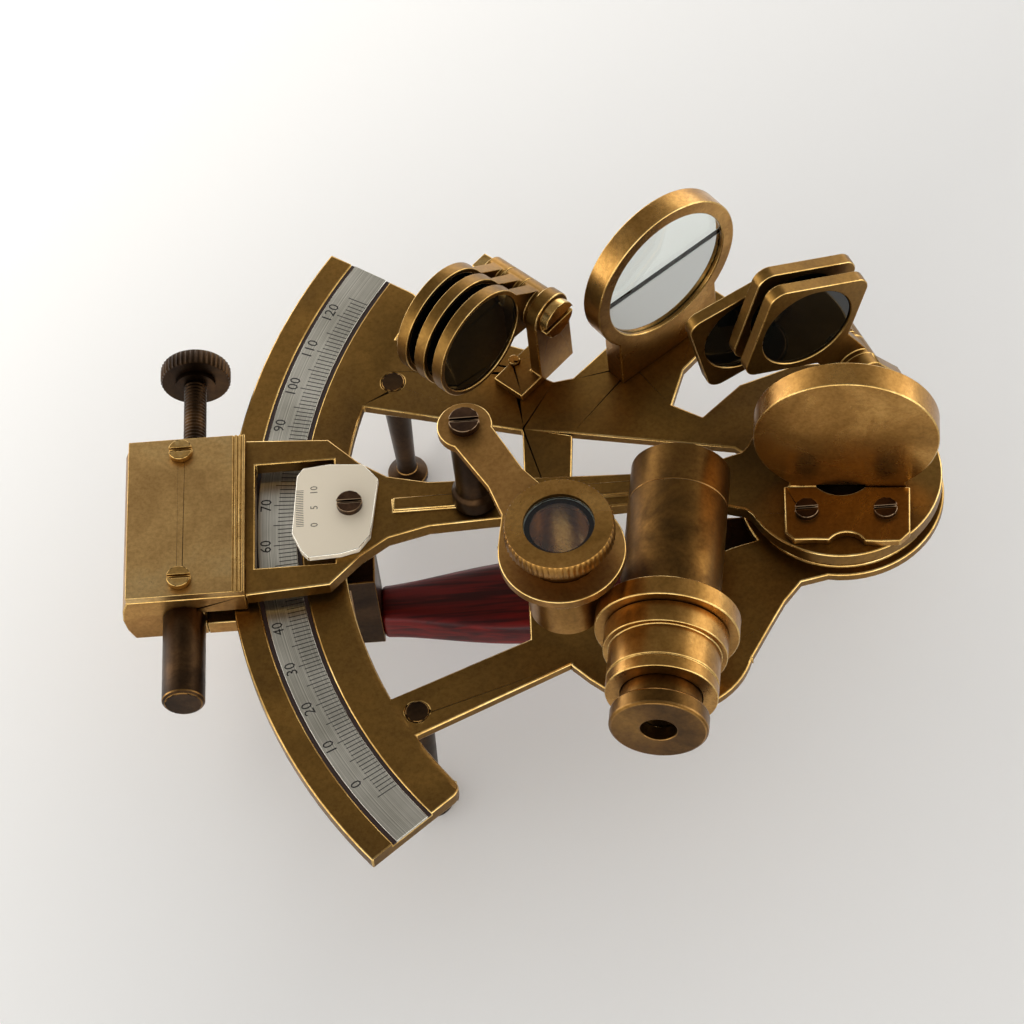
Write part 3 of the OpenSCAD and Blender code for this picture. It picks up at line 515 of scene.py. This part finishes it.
# ---------------------------------------------------------------- legs
# Three turned brass legs with flared feet, dipped dark before they were fitted. Each has a spigot
# that is riveted through the frame plate.

# nearly black-brown, so the legs drop back under the frame
dark_brass = aged_brass("dipped_dark_brass", "#2A1E14", "#3D2C1C", "#5A4128",
                        cloud_mm=12, rough=0.34)
# the dip worn through to brown on every rim, and painted lighter there as a highlight along the edges
worn_and_highlit_dark_edge = aged_brass("dark_brass_worn_edge_painted_highlight", "#6B4E2C", "#8C683A", "#A98049",
                       cloud_mm=6, rough=0.28)
for leg in ("leg_arc_high", "leg_arc_low", "leg_pivot"):
    eased(leg, dark_brass, worn_and_highlit_dark_edge, edge=0.15)


# ---------------------------------------------------------------- grip
# A waisted handle of dark red hardwood, spokeshaved, stained and varnished, held between two brass
# angle brackets by screws into its end grain.
GRIP_X = (-80.0, -26.0)
GRIP_Y = -6.6
GRIP_Z = -17.5
GRIP_H = 7.0
GRIP_END_W = 7.6
GRIP_BELLY = 7.4
GRIP_SQUARE = 4.5
GRIP_STATIONS = 46
GRIP_AROUND = 48
SCREW_EDGE = 0.1


def varnished_wood(name, dark, light, grain_mm):
    """Stained hardwood: growth lines stretched along X, under a clear coat of varnish."""
    material, tree, output = new_material(name)
    at = add(tree, "TexCoord").outputs["Object"]
    along = add(tree, "Mapping", inputs={"Vector": at, "Scale": (0.06, 1, 1)})
    grain = add(tree, "TexNoise", inputs={
        "Vector": along.outputs["Vector"], "Scale": 1 / (grain_mm * MM), "Detail": 5,
        "Distortion": 0.6})
    pores = add(tree, "Bump", inputs={
        "Strength": 0.15, "Distance": 0.02 * MM, "Height": grain.outputs["Fac"]})
    close_with(tree, output, add(tree, "BsdfPrincipled", inputs={
        "Base Color": ramp(tree, grain.outputs["Fac"], [(0.38, dark), (0.66, light)]),
        "Roughness": 0.45, "Specular IOR Level": 0.25, "Coat Weight": 0.12,
        "Coat Roughness": 0.2, "Normal": pores.outputs["Normal"]}))
    return material


def grip_shape():
    """At each station t the section is a squared oval: half-width w(t)/2 times the 2/4.5 power of
    cos, half-height times that of sin, where w is the end width plus a belly of sin(pi t)^1.5. The
    first and last sections shrink to the middle of the end faces."""
    t = np.concatenate([[0, 0, 0.004], np.linspace(0.012, 0.988, GRIP_STATIONS), [0.996, 1, 1]])
    shrink = np.concatenate([[0, 0.86, 0.95], np.ones(GRIP_STATIONS), [0.95, 0.86, 0]])
    width = (GRIP_END_W + GRIP_BELLY * np.sin(np.pi * t).clip(0) ** 1.5) / 2 * shrink
    turn = around(GRIP_AROUND)
    across = np.sign(np.cos(turn)) * np.abs(np.cos(turn)) ** (2 / GRIP_SQUARE)
    up = np.sign(np.sin(turn)) * np.abs(np.sin(turn)) ** (2 / GRIP_SQUARE)
    x = np.broadcast_to((GRIP_X[0] + (GRIP_X[1] - GRIP_X[0]) * t)[:, None],
                        (len(t), GRIP_AROUND))
    y = GRIP_Y + width[:, None] * across
    z = GRIP_Z + GRIP_H / 2 * shrink[:, None] * up
    return np.stack([x, y, z], axis=-1)


# deep wine red with a soft shine along the belly
rosewood = varnished_wood("stained_varnished_hardwood", "#330302", "#6E0E08", grain_mm=1.1)
settle(surface("wooden_grip", grip_shape()), "frame", "rosewood", [rosewood], "grip")
# oiled and heated steel: dull brown beside the brass
browned_steel = aged_brass("browned_steel", "#33241A", "#4A3526", "#6A4E38",
                           cloud_mm=5, rough=0.36)
# slots and rims where the driver has worn the brown away
steel_edge = plain("steel_worn_edge", "#8C745A", 0.3, 1.0)


def steel_fitting(node):
    """A small browned steel piece, worn bright along its edges."""
    return eased(node, browned_steel, steel_edge, SCREW_EDGE)


for bracket in ("grip_bracket_limb", "grip_bracket_pivot"):
    eased(bracket, dark_brass, worn_and_highlit_dark_edge, edge=0.3)
steel_fitting("grip_screws")


# ---------------------------------------------------------------- telescope
# A short Galilean telescope: dark drawn tube, objective cell, bright turned eyepiece body and a
# sliding eye tube, clamped in a ring that stands on the frame.

# warm gold, with soft bands of light round each turned step
turned_brass = aged_brass("turned_lacquered_brass", "#8A642E", "#AD8042", "#CFA05A",
                          cloud_mm=16, rough=0.26)
# the tube and post were dipped brown, not black, so they glow dark gold where the light falls
brown_brass = aged_brass("dipped_brown_brass", "#4A3315", "#6B4B22", "#8A6530",
                         cloud_mm=14, rough=0.32)
# clear, with a ground rim that shows as a pale grey-green line
clear_glass = plain("polished_crown_glass", "#F4FAF7", 0.02, Transmission_Weight=1.0, IOR=1.52)
glass_edge = plain("ground_glass_edge", "#C9D6CF", 0.4, Transmission_Weight=0.6, IOR=1.52)
eased("telescope_ring", turned_brass, worn_and_highlit_brass, edge=0.22)
steel_fitting("telescope_ring_screw")
for tube in ("telescope_tube", "objective_cell", "draw_tube"):
    eased(tube, brown_brass, worn_and_highlit_dark_edge, edge=0.14)
eased("eyepiece_body", turned_brass, worn_and_highlit_brass, edge=0.16)
for lens in ("objective_lens", "eye_lens"):
    eased(lens, clear_glass, glass_edge, edge=0.1)


# ---------------------------------------------------------------- horizon mirror
# A turned ring on a cast web that is screwed to the frame from below. It holds a glass in two
# halves, clear above and silvered below.

# a clean cool mirror, a little darker than the table it reflects
silvering = plain("silvered_glass", "#D6DAD9", 0.04, 1.0)
eased("horizon_ring", turned_brass, worn_and_highlit_brass, edge=0.22)
eased("horizon_clear_glass", clear_glass, glass_edge, edge=0.08)
eased("horizon_silvered_glass", silvering, glass_edge, edge=0.08)
steel_fitting("horizon_screws")


# ---------------------------------------------------------------- horizon shades
# Three round dark glasses in thin brass frames, stacked on one screw so that each swings alone.
# The screw passes a bracket on the frame and is kept by a bright nut.

# near black, so each glass shows only what it reflects
shade_glass = plain("neutral_black_shade_glass", "#0A0C0B", 0.05, IOR=1.52)
shade_edge = plain("shade_glass_edge", "#1B201E", 0.2, IOR=1.52)
# screws are turned from the bar and left bright, so they stand out as gold points
screw_brass = aged_brass("bright_screw_brass", "#A98246", "#D0A55F", "#EBCB8C",
                         cloud_mm=5, rough=0.2)


def shade_set(mirror, frame_edge):
    """A mirror's bracket, its screw, and the three framed glasses that swing on it."""
    eased(f"{mirror}_shade_bracket", cast_brass, worn_and_highlit_brass, edge=0.2)
    eased(f"{mirror}_shade_screw", screw_brass, worn_and_highlit_brass, edge=0.12)
    for k in (1, 2, 3):
        eased(f"{mirror}_shade_{k}", cast_brass, worn_and_highlit_brass, frame_edge)
        eased(f"{mirror}_shade_glass_{k}", shade_glass, shade_edge, edge=0.1)


shade_set("horizon", 0.14)


# ---------------------------------------------------------------- index shades
# Three more dark glasses in square frames with rounded corners, pinned in the same way to a
# bracket beside the arm's pivot.
shade_set("index", 0.16)


# ---------------------------------------------------------------- index arm
# A flat brass casting with a raised rib and a window over the scale. It turns on a headed pin,
# let into its top and kept by a slotted nut under the frame.
eased("index_arm", cast_brass, worn_and_highlit_brass, edge=0.26)
for turning in ("pivot_pin", "pivot_nut"):
    eased(turning, dark_brass, worn_and_highlit_dark_edge, edge=0.15)


# ---------------------------------------------------------------- index mirror
# A round silvered glass in a cast and turned brass dish, which stands over the pivot on a foot
# held to the arm by two steel screws.
eased("index_mirror_housing", turned_brass, worn_and_highlit_brass, edge=0.24)
eased("index_mirror_glass", silvering, glass_edge, edge=0.1)
steel_fitting("index_mirror_screws")


# ---------------------------------------------------------------- vernier
# A nickel-silver plate screwed to the arm beside the window, with a fine divided edge and three
# faint punched figures.
VERNIER_TOP = 5.6
VERNIER_FROM = 91.2
VERNIER_TO = 92.5
VERNIER_STEPS = 20
VERNIER_SPREAD = 4.6
VERNIER_TICK_W = 0.1
VERNIER_FIGURE_R = 89.3
VERNIER_FIGURE_STEP = 3.6
VERNIER_FIGURE_SIZE = 1.8
# almost white: the plate's bright reflection is painted into its colour, so it reads as cream rather than as a
# mirror
nickel_with_painted_reflection = plain("nickel_silver_painted_reflection", "#EFE3CC", 0.5, 0.25)
eased("vernier_plate", nickel_with_painted_reflection, filed_and_highlit_nickel, edge=0.12)
steel_fitting("vernier_screw")
hatch = 180 + np.linspace(-1, 1, VERNIER_STEPS + 1) * VERNIER_SPREAD / 2
hatch_corners = radial_marks(hatch, np.full(len(hatch), VERNIER_FROM),
                             np.full(len(hatch), VERNIER_TO), VERNIER_TICK_W)
hatch_ticks = prisms("vernier_ticks", hatch_corners, VERNIER_TOP - MARK_T, VERNIER_TOP + MARK_T)
settle(hatch_ticks, "index_arm", "dark_steel", [black_wax])
# most of the wax has gone, so these figures are only a grey stain
worn_wax = plain("worn_wax_in_nickel_silver", "#6F685A", 0.5)
faint = [(text, -VERNIER_FIGURE_R, place * VERNIER_FIGURE_STEP, 90)
         for text, place in (("10", 1), ("5", 0), ("0", -1))]
settle(figures("vernier_figures", faint, VERNIER_FIGURE_SIZE, VERNIER_TOP), "index_arm",
       "dark_steel", [worn_wax])


# ---------------------------------------------------------------- tangent-screw box
# A hollow brass box that straddles the limb, under a brushed cover with two bright screws. A dark
# plunger barrel stands on its near side.

# paler than the frame's brass, with a dry skin
bronze = aged_brass("cast_light_bronze", "#8A6534", "#A87C44", "#C69A58",
                    cloud_mm=18, rough=0.36)
# light gold, with fine lines of the brush along Y
brushed_cover = aged_brass("brushed_rolled_brass", "#A88450", "#C9A266", "#DDBB80",
                           cloud_mm=20, rough=0.3, brushed=(1, 0.04, 1))
eased("box_body", bronze, worn_and_highlit_brass, edge=0.25)
eased("box_cover", brushed_cover, worn_and_highlit_brass, edge=0.1)
eased("cover_screws", screw_brass, worn_and_highlit_brass, edge=0.12)
eased("limb_shoe", bronze, worn_and_highlit_brass, edge=0.2)
eased("plunger_barrel", dark_brass, worn_and_highlit_dark_edge, edge=0.14)
eased("plunger_spring", browned_steel, steel_edge, edge=0.01)
steel_fitting("thrust_pad")


# ---------------------------------------------------------------- tangent screw
# A dark brass screw of 0.7 mm pitch through the wall of the box, with a straight-knurled knob. The
# screw moves the pad and the plunger brings it back.
SCREW_X = -110.8
SCREW_Z = -0.6
STEM_FROM = 5.0
KNOB_FROM = 33.2
KNOB_TO = 36.2
KNOB_R = 6.15
STEM_R = 2.0
PITCH = 0.7
THREAD_DEPTH = 0.17
KNURLS = 44
KNURL_DEPTH = 0.26
KNOB_EDGE = 0.3
SHOULDER_R = 3.5
SHOULDER_T = 0.8
STEPS_A_TURN = 6
SCREW_AROUND = 176


def tangent_screw_shape():
    """Rings of points along Y. On the stem the radius falls by the thread's depth times
    (1 + cos(2 pi y / pitch - turn)) / 2, and on the knob by the knurl's depth times
    |sin(count turn / 2)|."""
    stem_to = KNOB_FROM - SHOULDER_T
    stem = np.linspace(STEM_FROM, stem_to, int((KNOB_FROM - STEM_FROM) / PITCH * STEPS_A_TURN))
    knob_y = [stem_to, KNOB_FROM, KNOB_FROM, KNOB_FROM + KNOB_EDGE, KNOB_TO - KNOB_EDGE, KNOB_TO,
              KNOB_TO]
    knob_r = [SHOULDER_R, SHOULDER_R, KNOB_R - KNOB_EDGE, KNOB_R, KNOB_R, KNOB_R - KNOB_EDGE, 0]
    y = np.concatenate([[STEM_FROM], stem, knob_y])
    r = np.concatenate([[0], np.full(len(stem), STEM_R), knob_r])
    threaded = np.concatenate([[0], np.ones(len(stem)), np.zeros(len(knob_y))])
    knurled = np.where(r > KNOB_R - 0.01, 1, 0)
    turn = around(SCREW_AROUND)[None, :]
    dip = THREAD_DEPTH * threaded[:, None] * (1 + np.cos(2 * np.pi * y[:, None] / PITCH - turn)) / 2
    dip = dip + KNURL_DEPTH * knurled[:, None] * np.abs(np.sin(KNURLS * turn / 2))
    radius = r[:, None] - dip
    along = np.broadcast_to(y[:, None], radius.shape)
    return np.stack([SCREW_X + radius * np.cos(turn), along, SCREW_Z + radius * np.sin(turn)],
                    axis=-1)


settle(surface("knurled_tangent_screw", tangent_screw_shape()), "tangent_screw", "dark_brass",
       [dark_brass], "tangent_screw")


# ---------------------------------------------------------------- magnifier
# A lens in a knurled brass cell, held by friction in a ring on an arm that swings round a turned
# post, and kept by a slotted screw.
CELL_AT = (-46.9, -26.5)
FOOT_Z = 10.5
HEAD_Z = 29.8
TOP_Z = 33.1
BORE_R = 5.4
TUBE_R = 6.4
HEAD_R = 9.0
MOUTH_R = 5.8
SEAT_Z = (30.5, 31.5)
SEAT_R = 4.8
FOOT_EDGE = 0.15
HEAD_EDGE = 0.3
# (height, radius) round the wall: up the outside, over the head, and down the bore past the seat
CELL_PROFILE = [(FOOT_Z, BORE_R), (FOOT_Z, TUBE_R - FOOT_EDGE), (FOOT_Z + FOOT_EDGE, TUBE_R),
                (HEAD_Z, TUBE_R), (HEAD_Z, HEAD_R - HEAD_EDGE), (HEAD_Z + HEAD_EDGE, HEAD_R),
                (TOP_Z - HEAD_EDGE, HEAD_R), (TOP_Z, HEAD_R - HEAD_EDGE), (TOP_Z, MOUTH_R),
                (SEAT_Z[1], MOUTH_R), (SEAT_Z[1], SEAT_R), (SEAT_Z[0], SEAT_R),
                (SEAT_Z[0], BORE_R)]
CELL_KNURLS = 60
CELL_KNURL_DEPTH = 0.22
CELL_AROUND = 240


def magnifier_cell_shape():
    """The cell's closed profile turned about its own upright axis; where the profile is widest the
    radius falls by the knurl's depth times |sin(count turn / 2)|."""
    z, r = np.array(CELL_PROFILE).T
    turn = around(CELL_AROUND)[None, :]
    depth = np.where(r == HEAD_R, CELL_KNURL_DEPTH, 0)[:, None]
    radius = r[:, None] - depth * np.abs(np.sin(CELL_KNURLS * turn / 2))
    up = np.broadcast_to(z[:, None], radius.shape)
    x, y = CELL_AT
    return np.stack([x + radius * np.cos(turn), y + radius * np.sin(turn), up], axis=-1)


eased("magnifier_post", dark_brass, worn_and_highlit_dark_edge, edge=0.15)
eased("magnifier_arm", bronze, worn_and_highlit_brass, edge=0.18)
steel_fitting("magnifier_screw")
settle(surface("knurled_magnifier_cell", magnifier_cell_shape(), wrap_rows=True), "magnifier_cell",
       "antique_brass", [turned_brass], "magnifier_cell")
eased("magnifier_lens", clear_glass, glass_edge, edge=0.1)
